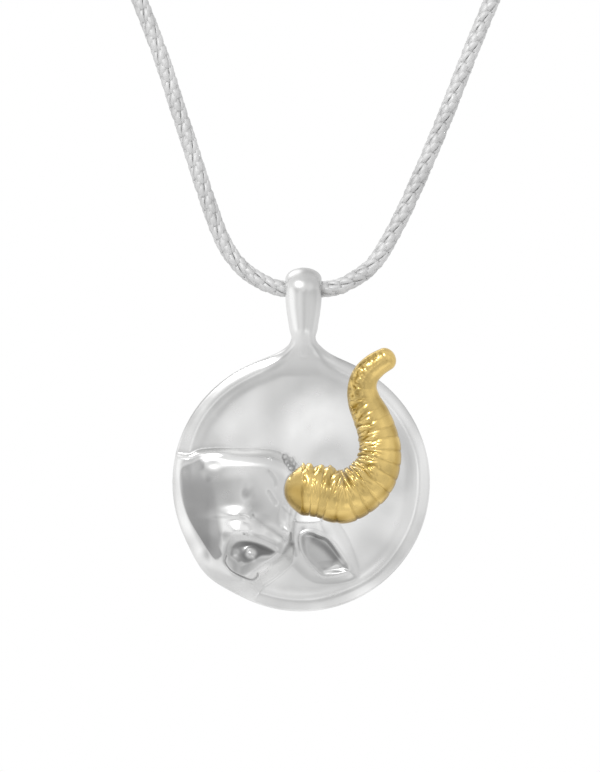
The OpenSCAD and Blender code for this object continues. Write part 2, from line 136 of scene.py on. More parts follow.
# Stretch where the joint of bail and disc is evened out: half width, its two ends, rounds and strength.
JOINT_W = 2.2
JOINT_LOW_FADE = (9.3, 1.2)
JOINT_TOP_FADE = (13.0, 0.9)
JOINT_ROUNDS = 26
JOINT_PULL = 0.6

# Horn: its ribs, their height as a share of its radius, its seat and its rounded ends.
RIB_COUNT = 22
RIB_SHARE = 0.07
RIB_CUT_W = 0.09
SEAT_GAP = 0.04
BASE_CAP = 1.5
CAP_POWER = 0.45
TIP_CAP = 0.85
# Column of folds down the front of its upper part: degrees round the horn, and share of its length.
COLUMN_AT = 312
COLUMN_W = 34
COLUMN_FADE = (0.5, 0.15)
# Where the folds soften near the tip, where the outer side's ribs fade, and where the folds' patina and
# painted shade, lighter at the base, come to full strength.
TIP_FADE = (0.75, 0.25)
CALM_FADE = (0.45, 0.3)
BASE_FADE = (0.1, 0.15)
# Radius at which the horn's noise is read.
NOISE_R = 1.4
# Grid of the horn: points round each ring, and rings of its base, body and tip.
HORN_SIDES = 120
BASE_RINGS = 30
HORN_RINGS = 600
TIP_RINGS = 16

# Middle of the chain inside the bail, and the middle of the disc's back.
HINGE = np.array([-1.0, -118.0, -172.0])
DISC = HINGE + (-0.2, CHAIN_DEPTH, -CHAIN_RISE)

# Grid of the bail: points across the strap, and rings on its back leg, top and front leg.
STRAP_POINTS = 33
BACK_LEG_RINGS = 20
STRAP_TOP_RINGS = 60
FRONT_LEG_RINGS = 26

# Grid of the medallion's front: its rings spread from a pole in the head.
POLE = np.array([-2.6, -4.2])
ROUND_FROM = 0.88
SPOKES = 480
INNER_RINGS = 118
RIM_RINGS = 26
BACK_RINGS = 12

HEAD_OUTLINE = np.array([
    [-12.5, 1.2], [-9.6, 2.35], [-8.2, 2.85], [-3.3, 2.9], [-1.5, 2.45], [-0.2, 1.5], [0.6, -0.6],
    [-0.3, -2.6], [-0.55, -4.4], [-0.4, -6.4], [-1.6, -7.8], [-3.8, -9.6], [-5, -12.5], [-12.5, -12.5],
])
# The ear's soft foot on the disc, and the edge of its hollow.
EAR_FOOT = np.array([
    [-2.0, -1.5], [2.2, -2.0], [3.4, -3.6], [4.2, -5.0], [4.8, -6.6], [5.0, -8.1],
    [3.6, -8.75], [1.0, -8.6], [-0.9, -7.1], [-2.0, -5.6],
])
EAR_EDGE = np.array([
    [-0.05, -4.5], [0.4, -4.15], [1.0, -4.15], [1.6, -4.4], [2.25, -4.65], [2.75, -5.15], [3.3, -5.9],
    [3.8, -6.7], [4.15, -7.5], [3.3, -7.8], [2.2, -8.0], [1.6, -7.8], [1.1, -7.3], [0.5, -6.7],
    [0.1, -6.0], [-0.1, -5.2],
])
# Deepest line of the hollow, near its right edge.
EAR_VALLEY = [(1.1, -4.9), (2.1, -5.6), (2.9, -6.5), (2.7, -7.1)]

# Edge of the head's top on the left: distance in from the outline, and share of the height there.
CHAMFER = [(0, 0), (0.25, 0.7), (0.7, 0.8)]
CHAMFER_SOFT = 0.06
# Where that edge ends: distance in, x and z.
CHAMFER_IN_FADE = (0.75, 0.2)
CHAMFER_LEFT_FADE = (-5.6, 1.6)
CHAMFER_LOW_FADE = (-0.5, 1.0)
# Knob beside the ear, where the border is narrower: x, z, radius, share of the border that goes.
KNOB = (-0.9, -4.15, 0.9, 0.6)

# Soft lumps of the head: x, z, half length, half width, turn in degrees, height.
LUMPS = [
    # forehead under the top border
    (-7.3, 0.7, 1.3, 0.9, 0, 0.1),
    (-7.4, 1.6, 0.8, 0.5, 8, -0.16),
    (-9.8, 1.3, 0.9, 0.9, 0, -0.22),
    # temple, widening down to a knob beside the ear
    (-2.4, -1.3, 2.5, 1.5, -58, 0.27),
    (-0.95, -4.15, 0.6, 0.45, -60, 0.3),
    # hollow in front of the temple
    (-4.55, -0.75, 0.75, 0.5, 75, -0.1),
    # cheek in front of the jaw's edge
    (-1.4, -6.5, 1.5, 0.9, 60, 0.22),
    # eyeball
    (-4.28, -6.0, 0.5, 0.48, 0, 0.4),
]

# Folds of the brow: x, z, half length, half width above and below their crest, height.
BROW_FOLDS = [
    (-6.05, -2.7, 1.6, 0.6, 0.3, 0.33),
    (-5.7, -4.0, 1.35, 0.95, 0.5, 0.5),
]

# Creases and ridges of the head: half width, height, then the x and z of each point.
STROKES = [
    # upper lid, from the inner corner over the eye to the ear
    (0.45, 0.08, [(-6.75, -6.1), (-6.1, -4.7), (-5.2, -4.25), (-4.0, -4.4), (-2.6, -5.0), (-1.4, -5.5)]),
    # furrow between the temple and the lid
    (0.36, -0.17, [(-4.2, -2.75), (-3.5, -3.35), (-2.6, -3.95), (-1.7, -4.55), (-1.2, -4.75)]),
    (0.22, -0.05, [(-4.3, -2.0), (-4.0, -2.6), (-3.9, -3.0)]),
    # wrinkles of the brow
    (0.12, -0.07, [(-5.2, -2.75), (-4.7, -2.8), (-4.3, -3.1)]),
    (0.1, -0.06, [(-4.9, -3.4), (-4.5, -3.6), (-4.3, -4.0)]),
    (0.14, -0.1, [(-4.9, -4.25), (-4.6, -4.3)]),
    # creases of the temple
    (0.13, -0.04, [(-2.75, -0.75), (-2.45, -1.25), (-2.15, -1.7)]),
    (0.12, -0.05, [(-1.55, -2.05), (-1.15, -2.5), (-0.7, -2.85)]),
    (0.2, -0.05, [(-2.7, 0.9), (-2.3, 0.3), (-2.2, -0.2)]),
    # lid's lower corner
    (0.16, -0.16, [(-0.75, -5.1), (-0.6, -5.6), (-0.45, -6.2)]),
]

# Engraved line under the eye: half width, depth, points.
LINE_W = 0.06
LINE_DEEP = 0.11
LINE = [
    (-6.32, -6.15), (-6.47, -6.75), (-6.0, -7.45), (-5.2, -7.9),
    (-4.2, -8.25), (-3.75, -8.0), (-3.68, -7.7),
]

EYE_OUTLINE = np.array([
    [-6.15, -6.25], [-6.05, -5.5], [-5.7, -5.0], [-5.2, -4.8], [-4.5, -4.8],
    [-3.7, -4.97], [-2.85, -5.3], [-2.1, -5.8], [-2.5, -6.25], [-3.35, -6.35],
    [-4.0, -6.7], [-4.7, -6.95], [-5.2, -7.1], [-5.6, -6.7],
])
EYE_DEEP = 0.32
EYE_WALL = 1.0
EYE_WALL_SHIFT = 0.35
EYE_LOW = -7.2
EYE_SLOPE = 2.0

# Spots in the eye where its darkness is lifted so its highlights show: x, z, radius, share of the
# darkness taken away.
BRIGHT_SPOTS = [
    # eyeball and its cap
    (-4.25, -6.0, 0.42, 0.75),
    (-4.4, -5.75, 0.2, 0.9),
    # glint at the lower lid
    (-5.1, -6.95, 0.25, 0.95),
    # left part of the hollow
    (-5.55, -5.9, 0.3, 0.4),
]
# Spots of painted shade: x, z, radius, darkness.
DARK_SPOTS = [
    (0.15, -3.9, 0.25, 0.5), (-0.75, -5.25, 0.22, 0.7), (-4.85, -4.33, 0.14, 0.7),
    (-4.1, -2.75, 0.22, 0.55), (3.7, -7.05, 0.35, 0.6), (-7.25, -6.0, 0.5, 0.65),
    (-8.1, -6.2, 0.5, 0.4), (-6.5, -4.6, 0.55, 0.55), (-4.1, -2.1, 1.0, 0.38),
    (-3.5, -3.3, 0.85, 0.48), (-2.6, -4.3, 0.6, 0.3), (0.1, -4.0, 0.5, 0.3),
    (1.1, -4.15, 0.6, 0.22), (2.1, -4.3, 0.7, 0.22), (-7.95, 0.2, 0.5, 0.5),
    (-4.75, -0.95, 0.5, 0.6), (-4.1, -1.3, 0.5, 0.25), (-0.25, 17.05, 0.55, 0.4),
    # painted clouds of reflection on the face, and painted shade along its lower edge
    (5.3, -3.6, 2.3, 0.15), (3.2, -6.9, 1.6, 0.1), (-4.9, 3.2, 1.2, 0.25),
    (7.3, -2.2, 1.0, 0.15), (-9.3, -5.0, 0.8, 0.2), (-0.2, -9.7, 1.5, 0.2),
]
# Line of the glint at the ear's lower end, and its half width.
EAR_GLINT = [(2.1, -7.65), (3.05, -7.2)]
EAR_GLINT_W = 0.22
# Plane of the forehead and nose, given painted shade for a dark reflection.
BROW_PLANE = np.array([
    [-10.35, 1.15], [-10.35, -0.8], [-9.75, -2.9], [-8.5, -5.05], [-7.4, -6.6], [-6.6, -6.1],
    [-6.1, -4.6], [-4.6, -3.6], [-3.2, -2.2], [-3.2, 0.2], [-4.5, 0.9], [-7.6, 0.75],
    [-8.1, 1.1], [-8.2, 2.15], [-9.4, 1.75],
])
# Its border, wide all round and narrow where it is crisp: on the left, where it bends in lower down,
# and on the upper left.
PLANE_SOFT = 0.8
PLANE_CRISP = 0.15
PLANE_LEFT = -9.05
PLANE_LEFT_W = 0.6
PLANE_BEND = 0.1
PLANE_BEND_Z = -0.8
PLANE_UP_FADE = (0.9, 0.5)
PLANE_UP_LEFT_FADE = (-7.8, 0.6)
# Its soft right edge, x at the middle, lean and width, and its darkness, with what is added lower down.
PLANE_EDGE = (-7.2, -0.2, 0.7)
PLANE_DARK = 0.42
PLANE_LOW_DARK = 0.32
PLANE_LOW_H = 6
# Painted shade right of that plane, and its fades in x and z.
BROW_DARK = 0.27
BROW_FADE = (-4.2, 1.3)
BROW_LOW_FADE = (-3.4, 1.2)
# Darkness of the eye's hollow, patina and painted shade, with what is added on its right, and painted
# shade on its lids.
EYE_DARK = 0.75
EYE_RIGHT_DARK = 0.25
EYE_RIGHT_FADE = (-8.6, 1.6)
LID_DARK = 0.3
LID_FADE = (-1.0, 0.5)
LID_TOP_FADE = (-4.1, 0.4)
# Darkness of the ear's hollow, added again along its valley, and of its right wall and rim: patina and
# painted shade.
EAR_DARK = 0.45
EAR_VALLEY_DARK_W = 0.35
EAR_WALL_DARK = 0.2
EAR_WALL_FADE = (0.1, 0.4)
EAR_RIM_DARK = 0.14
EAR_RIM_DARK_W = 0.25
# Painted shade at the ear's and the head's foot on the disc.
EAR_FOOT_DARK = 0.2
HEAD_FOOT_DARK = 0.22
HEAD_FOOT_FADE = (-6, 2)
# Painted shade on the slope along the head's top, the strap's right side and the disc's upper edge.
TOP_DARK = 0.16
TOP_LEFT_FADE = (-6.5, 1.0)
TOP_LOW_FADE = (0.8, 0.6)
STRAP_DARK = 0.18
STRAP_FADE = (-0.6, 0.7)
STRAP_LOW_FADE = (10, 1.5)
EDGE_DARK = 0.35
EDGE_DARK_IN = 0.1
EDGE_DARK_W = 0.35
EDGE_LOW_FADE = (3, 3)
EDGE_BAIL_FADE = (2, 1.2)
# Heights over the disc's back where the patina and painted shade of the relief, and the painted shade of
# the disc's edge, come in.
RELIEF_SHADE_FADE = (0.9, 0.4)
EDGE_SHADE_FADE = (0.3, 0.4)
# Patina and painted shade of the engraved line and the tuft's grooves, and of a crease at most and for
# its depth.
LINE_DARK = 0.8
CREASE_DARK = 0.35
CREASE_GAIN = 3.5

# Silver that rises under the horn: a lump, and how it fades at the ear's foot.
HORN_BED = (0.5, -1.6, 1.6, 0.75, 0, 0.8)
HORN_BED_FADE = 0.8
# Ledge along the horn's lower edge, highest at its lower side.
LEDGE_X = 0.6
LEDGE_HALF = 1.25
LEDGE_END_W = 0.4
LEDGE_Z = -3.45
LEDGE_EDGE_W = 0.18
LEDGE_REACH = 2
LEDGE_RISE = 0.95
LEDGE_SLOPE = 0.36
LEDGE_BOW = 0.12

# Knobs of the tuft beside the horn.
TUFT = [(-1.35, 2.2), (-1.2, 1.85), (-0.85, 1.95), (-1.0, 1.6), (-0.7, 1.6), (-0.8, 1.3)]
TUFT_R = 0.17
TUFT_RISE = 0.28

# The horn's route: x, z, depth of its middle in front of the disc's back, radius.
HORN_ROUTE = np.array([
    [0.05, -0.6, 3.75, 2.15],
    [1.0, -0.62, 3.75, 2.2],
    [2.2, -0.85, 3.75, 2.25],
    [3.4, -1.15, 3.75, 2.28],
    [4.6, -0.75, 3.72, 2.2],
    [5.7, 0.1, 3.68, 2.1],
    [6.45, 1.3, 3.62, 1.95],
    [6.7, 2.8, 3.5, 1.8],
    [6.5, 4.2, 3.35, 1.68],
    [6.0, 5.6, 3.2, 1.58],
    [5.4, 6.9, 3.1, 1.42],
    [5.2, 8.1, 3.2, 1.26],
    [5.5, 9.15, 3.35, 1.16],
    [6.3, 10.0, 3.45, 1.08],
    [7.2, 10.55, 3.45, 1.0],
])

# The chain's route: from the clasp's right end over the right shoulder, then down the chest and through
# the bail, and back over the left shoulder as on the right.
SHOULDER_ROUTE = np.array([
    [2.2, 0, 0], [7, -0.15, -0.1], [20, -3.5, -2.5], [38, -14, -8], [51, -32, -16],
    [57, -54, -28], [55.5, -76, -46], [48, -91, -70], [38, -101, -94],
])
CHEST_ROUTE = [
    [26.5, -109, -121], [15.1, -114.6, -147.3], [11, -115.9, -157.5], [8.2, -116.7, -164],
    [6.4, -117.2, -167.6], [4.9, -117.5, -169.9], [3, -117.9, -171.3], [1.4, -118, -171.9],
    [-1, -118, -172], [-3, -118, -171.9], [-4.6, -117.9, -171.3], [-6.3, -117.5, -170.1],
    [-7.8, -117.1, -168], [-9.2, -116.6, -164.4], [-11.5, -115.8, -157.3], [-15, -114.6, -147.3],
    [-26, -109, -121],
]
CHAIN_ROUTE = np.vstack([SHOULDER_ROUTE, CHEST_ROUTE, SHOULDER_ROUTE[::-1] * (-1, 1, 1)])
# Steps into which its route is divided, and a direction across the chain at its start.
ROUTE_STEPS = 6000
CHAIN_ACROSS = (0, 0.9, 0.45)
# Half thickness and half width of a link's flat wire, and its sides.
WIRE_T = 0.14
WIRE_W = 0.34
WIRE_SIDES = 6
# Length from a link to the next one in its row, and over which the rows turn round once.
LINK_STEP = 1.1
TURN_LENGTH = 13.2
# Lengths from the chain's start to its first link, and from its last link to its end.
FIRST_LINK = 0.2
LAST_LINK = 1.8


def clamp01(t):
    return np.clip(t, 0, 1)


def ease(t):
    q = clamp01(t)
    return q * q * (3 - 2 * q)


def above(value, limit, width):
    """0 up to the limit, easing to 1 over a width past it."""
    return ease((value - limit) / width)


def below(value, limit, width):
    """0 down to the limit, easing to 1 over a width under it."""
    return ease((limit - value) / width)


def round_over(t):
    q = 1 - clamp01(t)
    return np.sqrt(1 - q * q)


def bell(t):
    return np.exp(-t * t)


def waves(p, size, seed, count=7):
    """Smooth unevenness between about -1 and 1 over points of any dimension."""
    rng = np.random.default_rng(seed)
    ways = unit(rng.normal(size=(count, p.shape[-1])))
    phases = rng.uniform(0, 2 * math.pi, count)
    paces = rng.uniform(0.7, 1.4, count)
    total = np.zeros(p.shape[:-1])
    for way, phase, pace in zip(ways, phases, paces):
        total += np.sin(p @ way * (2 * math.pi * pace / size) + phase)
    return total / math.sqrt(count * 2)


def through(route, steps):
    """Smooth curve through the rows of a route, at positions counted in rows."""
    last = len(route) - 1
    i = np.minimum(np.floor(steps).astype(int), last - 1)
    t = (steps - i)[:, None]
    p0, p1 = route[np.maximum(i - 1, 0)], route[i]
    p2, p3 = route[i + 1], route[np.minimum(i + 2, last)]
    return 0.5 * (2 * p1 + (p2 - p0) * t + (2 * p0 - 5 * p1 + 4 * p2 - p3) * t**2
                  + (3 * p1 - p0 - 3 * p2 + p3) * t**3)


def rounded_outline(outline, pieces=6):
    """A closed outline with its corners eased into a smooth curve."""
    n = len(outline)
    closed = np.vstack([outline[-2:], outline, outline[:3]])
    fine = through(closed, np.arange(n * pieces) / pieces + 2)
    return 0.5 * fine + 0.25 * np.roll(fine, 1, 0) + 0.25 * np.roll(fine, -1, 0)


def segment_distance(p, a, b):
    v = b - a
    t = clamp01((p - a) @ v / (v @ v))
    return np.linalg.norm(p - a - t[:, None] * v, axis=1)


def inside_distance(p, outline):
    """Distance of each point from an outline with its corners eased, positive inside."""
    outline = rounded_outline(outline)
    best = np.full(len(p), np.inf)
    inside = np.zeros(len(p), bool)
    for a, b in zip(outline, np.roll(outline, -1, 0)):
        best = np.minimum(best, segment_distance(p, a, b))
        spans = (a[1] > p[:, 1]) != (b[1] > p[:, 1])
        rise = np.where(spans, b[1] - a[1], 1)
        inside ^= spans & (p[:, 0] < a[0] + (p[:, 1] - a[1]) * (b[0] - a[0]) / rise)
    return np.where(inside, best, -best)


def lump(p, row):
    x, z, length, width, turn, height = row
    c, s = math.cos(math.radians(turn)), math.sin(math.radians(turn))
    dx, dz = p[:, 0] - x, p[:, 1] - z
    u, v = (dx * c + dz * s) / length, (dz * c - dx * s) / width
    return height * np.exp(-u * u - v * v)


def brow_fold(p, row):
    x, z, length, over, under, height = row
    up = p[:, 1] - z
    return height * bell((p[:, 0] - x) / length) * bell(up / np.where(up > 0, over, under))


def edge_radius(a):
    """Radius of the disc's edge at an angle in degrees."""
    swell = EDGE_SWELL * bell((a - SWELL_AT) / SWELL_W)
    flare = FLARE_RISE * np.exp(-np.maximum(0, np.abs(a - FLARE_AT) - FLARE_HALF) / FLARE_FADE)
    return DISC_R + swell + flare


def edge_inset(p):
    """Distance of each point in from the disc's edge, along its radius."""
    a = np.degrees(np.arctan2(p[:, 1], p[:, 0])) % 360
    return edge_radius(a) - np.linalg.norm(p, axis=1)


def spot_distance(p, spot):
    return np.linalg.norm(p - spot, axis=1)


def unit(vectors):
    return vectors / np.linalg.norm(vectors, axis=-1, keepdims=True)


def length_along(points):
    """Length of a line from its start to each of its points."""
    return np.concatenate([[0], np.cumsum(np.linalg.norm(np.diff(points, axis=0), axis=1))])


def line_distance(p, points):
    """Distance of each point from a polyline."""
    points = np.asarray(points)
    return np.minimum.reduce([segment_distance(p, a, b) for a, b in zip(points, points[1:])])


def smooth_line(points, pieces=6):
    """A polyline through the points with its corners rounded."""
    points = np.asarray(points, float)
    return through(points, np.linspace(0, len(points) - 1, (len(points) - 1) * pieces + 1))


def smooth_max(a, b, blend):
    share = clamp01(0.5 + 0.5 * (a - b) / blend)
    return b + (a - b) * share + blend * share * (1 - share)


def head_cover(p, inside):
    """Share of the head's full height at a distance in from its outline."""
    x, z = p[:, 0], p[:, 1]
    border = HEAD_BORDER + (JAW_BORDER - HEAD_BORDER) * below(z, *JAW_FADE)
    border = border * (1 - KNOB[3] * bell(spot_distance(p, KNOB[:2]) / KNOB[2]))
    cover = round_over(inside / border) * ease(inside / FOOT_W)
    reach, share = np.transpose(CHAMFER)
    shifts = (-CHAMFER_SOFT, 0, CHAMFER_SOFT)
    chamfer = sum(np.interp(inside + shift, reach, share) for shift in shifts) / 3
    at_chamfer = below(inside, *CHAMFER_IN_FADE) * below(x, *CHAMFER_LEFT_FADE)
    cover = cover + (chamfer - cover) * at_chamfer * above(z, *CHAMFER_LOW_FADE)
    return cover + (ease(inside / JAW_SOFT) - cover) * JAW_SOFT_SHARE * below(z, *JAW_SOFT_FADE)


def head_fall(p):
    """How far the head's top falls over the cheek, down the nose and to the jaw."""
    x, z = p[:, 0], p[:, 1]
    past = (CHEEK_FROM - x) / CHEEK_BEND
    q = clamp01(past)
    cheek = CHEEK_FALL * CHEEK_BEND * (q**3 - q**4 / 2 + np.maximum(past - 1, 0))
    nose = NOSE_FALL * (HEAD_TOP - z) * below(x, *NOSE_FADE)
    down = JAW_WAY[0] * x + JAW_WAY[1] * z - JAW_FROM
    return cheek + nose + JAW_FALL * 0.5 * (down + np.sqrt(down**2 + JAW_BEND))


def head_height(p):
    inside = inside_distance(p, HEAD_OUTLINE)
    eye = inside_distance(p, EYE_OUTLINE)
    shape = HEAD_RISE - head_fall(p)
    shape = shape + sum(lump(p, row) for row in LUMPS)
    shape = shape + sum(brow_fold(p, row) for row in BROW_FOLDS)
    for width, height, points in STROKES:
        shape = shape + height * bell(line_distance(p, smooth_line(points)) / width)
    eye_slope = clamp01((p[:, 1] - EYE_LOW) / EYE_SLOPE)
    shape = shape - EYE_DEEP * ease(EYE_WALL_SHIFT + eye / EYE_WALL) * eye_slope
    shape = shape - LINE_DEEP * bell(line_distance(p, smooth_line(LINE)) / LINE_W)
    return head_cover(p, inside) * shape


def tuft_height(p):
    return sum(TUFT_RISE * bell(spot_distance(p, knob) / TUFT_R) for knob in TUFT)


def ear_height(p):
    foot = inside_distance(p, EAR_FOOT)
    edge = inside_distance(p, EAR_EDGE)
    mound = EAR_RISE * ease(foot / EAR_SKIRT_W)
    valley = line_distance(p, smooth_line(EAR_VALLEY))
    deep = EAR_DEEP * (EAR_SHELF + (1 - EAR_SHELF) * clamp01(1 - valley / EAR_VALLEY_W))
    floor = EAR_FLOOR_SLOPE * np.maximum(p[:, 1] - EAR_FLOOR_END, 0)
    hollow = np.minimum(deep, floor) * ease(edge / EAR_WALL)
    rim = EAR_RIM_RISE * bell(edge / EAR_RIM_W) * ease(foot / EAR_RIM_FADE)
    return mound + rim - hollow + lump(p, HORN_BED) * ease(foot / HORN_BED_FADE)


def ledge_height(p):
    aside = np.abs(p[:, 0] - LEDGE_X)
    up = p[:, 1] - LEDGE_Z - LEDGE_BOW * (aside / LEDGE_HALF)**2
    height = LEDGE_RISE - LEDGE_SLOPE * np.maximum(up, 0)
    ends = ease((LEDGE_HALF - aside) / LEDGE_END_W + 0.5)
    return height * ends * ease(up / LEDGE_EDGE_W + 0.5) * (up < LEDGE_REACH)


def seat_height(p):
    """Highest the silver may be without touching the horn over it."""
    best = np.full(len(p), np.inf)
    for k, (row, following) in enumerate(zip(HORN_ROUTE, HORN_ROUTE[1:])):
        v = following[:2] - row[:2]
        step = (p - row[:2]) @ v / (v @ v)
        t = clamp01(step)[:, None]
        here = row + t * (following - row)
        r = here[:, 3] * (1 + RIB_SHARE / 2) + SEAT_GAP
        d = np.linalg.norm(p - here[:, :2], axis=1)
        if k == 0:
            behind = step < 0
            back = -step * np.linalg.norm(v)
            aside = np.abs((p - row[:2]) @ np.array([-v[1], v[0]])) / np.linalg.norm(v)
            cap = clamp01(1 + SEAT_GAP / BASE_CAP - back / BASE_CAP)
            r = np.where(behind, row[3] * cap**CAP_POWER + SEAT_GAP, r)
            d = np.where(behind, aside, d)
            d = np.where(behind & (back > BASE_CAP + SEAT_GAP), np.inf, d)
        under = here[:, 2] - np.sqrt(np.maximum(r * r - d * d, 0))
        best = np.where(d < r, np.minimum(best, under), best)
    return best


def leg_thickness(down):
    """Thickness of the strap at a length down its legs."""
    return STRAP_T * (1 - LEG_THIN * above(down, *LEG_FADE))


def strap_front(z):
    """Inner height, thickness and half width of the bail's front leg at a height up the disc."""
    lean = math.radians(FRONT_LEAN)
    down = (CHAIN_RISE + HOLE_R * math.cos(lean) - z) / math.sin(lean)
    inner = CHAIN_DEPTH + HOLE_R * math.sin(lean) + down * math.cos(lean)
    return inner, leg_thickness(down), strap_half(z)


def strap_half(z):
    return (NECK_W + (BAIL_W - NECK_W) * above(z, *WIDTH_FADE)) / 2


def foot_height(p):
    """Height of the bail's front leg where it runs out over the disc, with its soft sides."""
    inner, thick, half = strap_front(np.minimum(p[:, 1], FOOT_TOP))
    beside = np.abs(p[:, 0] - BAIL_X)
    spread = half + FOOT_FLARE * np.maximum(FOOT_FROM - p[:, 1], 0)**2
    across = clamp01(beside / spread)
    low = inner - FOOT_DROP * np.maximum(FOOT_END - p[:, 1], 0)**2
    low = low - FOOT_SIDE * np.maximum(beside - spread, 0)
    return low + thick * np.sqrt(1 - across**2)


def front_height(p):
    """Height of the medallion's front above its flat back."""
    x, z = p[:, 0], p[:, 1]
    t = edge_inset(p)
    relief = np.maximum(np.maximum(head_height(p), ear_height(p)), np.maximum(ledge_height(p), 0))
    raised = clamp01(relief)
    dish = FACE_DISH * clamp01(1 - (np.linalg.norm(p, axis=1) / DISH_R)**2)
    full = FACE_T - dish + RIM_RISE * bell((t - RIM_IN) / RIM_HALF) * (1 - raised)
    plain = clamp01(1 - relief / RELIEF_FADE) * clamp01(t - FACE_WAVE_FROM)
    full = full + plain * FACE_WAVE * waves(p, FACE_WAVE_W, seed=3)
    full = full + relief + tuft_height(p)
    full = np.where(z > FOOT_LOW, smooth_max(full, foot_height(p), FOOT_BLEND), full)
    held = np.minimum(full, seat_height(p))
    under_bail = bell((x - BAIL_X) / UNDER_BAIL_W) * above(z, *UNDER_BAIL_FADE)
    rounding = EDGE_ROUND + JAW_ROUND * raised * below(z, *JAW_ROUND_FADE) + RELIEF_ROUND * raised
    return WALL_T + (held - WALL_T) * round_over((t + under_bail) / rounding)


def at_disc(x, h, z):
    """Points given on the disc, with their height above its back, in the row frame."""
    return np.stack([DISC[0] + x, DISC[1] - h, DISC[2] + z], axis=-1)


def add_mesh(name, points, faces):
    """A smooth mesh object from points in millimetres."""
    mesh = bpy.data.meshes.new(name)
    mesh.from_pydata((np.asarray(points) * MM).tolist(), [], [tuple(int(i) for i in f) for f in faces])
    mesh.validate()
    mesh.update()
    mesh.shade_smooth()
    obj = bpy.data.objects.new(name, mesh)
    bpy.context.scene.collection.objects.link(obj)
    return obj


def set_values(obj, name, values):
    """A number for each vertex, for the material."""
    layer = obj.data.attributes.new(name, "FLOAT", "POINT")
    layer.data.foreach_set("value", np.asarray(values, np.float32))


def skin(first, rings, last):
    """Points and faces of a closed skin over rings of equal length, with a point at each end."""
    rings = np.asarray(rings)
    count, n, _ = rings.shape
    points = np.vstack([[first], rings.reshape(-1, 3), [last]])
    at = 1 + np.arange(count)[:, None] * n + np.arange(n)
    a, b = at[:-1], at[1:]
    quads = np.stack([a, b, np.roll(b, -1, 1), np.roll(a, -1, 1)], axis=-1).reshape(-1, 4)
    start = [(0, i, j) for i, j in zip(at[0], np.roll(at[0], -1))]
    end = [(len(points) - 1, j, i) for i, j in zip(at[-1], np.roll(at[-1], -1))]
    return points, list(quads) + start + end


def disc_and_head():
    turn = np.arange(SPOKES) * 360 / SPOKES
    way = np.stack([np.cos(np.radians(turn)), np.sin(np.radians(turn))], axis=-1)
    edge = edge_radius(turn)
    inner = np.linspace(0, ROUND_FROM, INNER_RINGS + 1)[1:]
    rim = 1 - (1 - ROUND_FROM) * np.cos(np.linspace(0, math.pi / 2, RIM_RINGS + 1)[1:])
    rings = []
    for s in np.concatenate([inner, rim]):
        p = POLE * max(0, 1 - s / ROUND_FROM) + way * (edge * s)[:, None]
        rings.append(at_disc(p[:, 0], front_height(p), p[:, 1]))
    for inset, height in BACK_EDGE:
        p = way * (edge - inset)[:, None]
        rings.append(at_disc(p[:, 0], np.full(SPOKES, height), p[:, 1]))
    for share in np.linspace(0.93, 0.08, BACK_RINGS):
        p = way * (edge * share)[:, None]
        height = BACK_WAVE * waves(p, BACK_WAVE_W, seed=5) * (1 - share)
        rings.append(at_disc(p[:, 0], height, p[:, 1]))
    pole_height = front_height(POLE[None])[0]
    return skin(at_disc(POLE[0], pole_height, POLE[1]), rings, at_disc(0, 0, 0))


def bail():
    """The strap: up from the disc's back, over the chain and down onto its front."""
    stations = [(BACK_LEAN, down) for down in np.linspace(BACK_LEG, LEG_START, BACK_LEG_RINGS)]
    stations += [(angle, 0) for angle in np.linspace(BACK_LEAN, FRONT_LEAN, STRAP_TOP_RINGS)]
    stations += [(FRONT_LEAN, down) for down in np.linspace(LEG_START, FRONT_LEG, FRONT_LEG_RINGS)]
    b = np.radians(180 - np.arange(STRAP_POINTS) * 180 / (STRAP_POINTS - 1))
    rings = []
    for angle, down in stations:
        s, c = math.sin(math.radians(angle)), math.cos(math.radians(angle))
        way = 1 if angle > 0 else -1
        h = CHAIN_DEPTH + HOLE_R * s + way * down * c
        z = CHAIN_RISE + HOLE_R * c - way * down * s
        out = (leg_thickness(down) - TOP_THIN * max(c, 0)) * np.sin(b)
        rings.append(at_disc(BAIL_X + strap_half(z) * np.cos(b), h + out * s, z + out * c))
    return skin(rings[0].mean(0), rings, rings[-1].mean(0))


def joined(body, tool, name):
    """The union of two closed meshes as a new object."""
    union = body.modifiers.new("union", "BOOLEAN")
    union.operation = "UNION"
    union.object = tool
    union.solver = "EXACT"
    evaluated = body.evaluated_get(bpy.context.evaluated_depsgraph_get())
    mesh = bpy.data.meshes.new_from_object(evaluated)
    bpy.data.objects.remove(body)
    bpy.data.objects.remove(tool)
    obj = bpy.data.objects.new(name, mesh)
    bpy.context.scene.collection.objects.link(obj)
    mesh.shade_smooth()
    return obj


def mesh_points(mesh):
    """The points of a mesh in metres."""
    points = np.empty(len(mesh.vertices) * 3)
    mesh.vertices.foreach_get("co", points)
    return points.reshape(-1, 3)


def soften(mesh, weight_at, rounds):
    """Evens out a mesh where weight_at gives more than 0."""
    points = mesh_points(mesh)
    edges = np.empty(len(mesh.edges) * 2, int)
    mesh.edges.foreach_get("vertices", edges)
    edges = edges.reshape(-1, 2)
    weight = weight_at(points / MM)[:, None]
    share = np.bincount(edges.ravel(), minlength=len(points))[:, None]
    for _ in range(rounds):
        total = np.zeros_like(points)
        np.add.at(total, edges[:, 0], points[edges[:, 1]])
        np.add.at(total, edges[:, 1], points[edges[:, 0]])
        points += weight * JOINT_PULL * (total / np.maximum(share, 1) - points)
    mesh.vertices.foreach_set("co", points.ravel())
    mesh.update()


def near_bail_foot(points):
    x, z = points[:, 0] - DISC[0] - BAIL_X, points[:, 2] - DISC[2]
    return bell(x / JOINT_W) * above(z, *JOINT_LOW_FADE) * below(z, *JOINT_TOP_FADE)


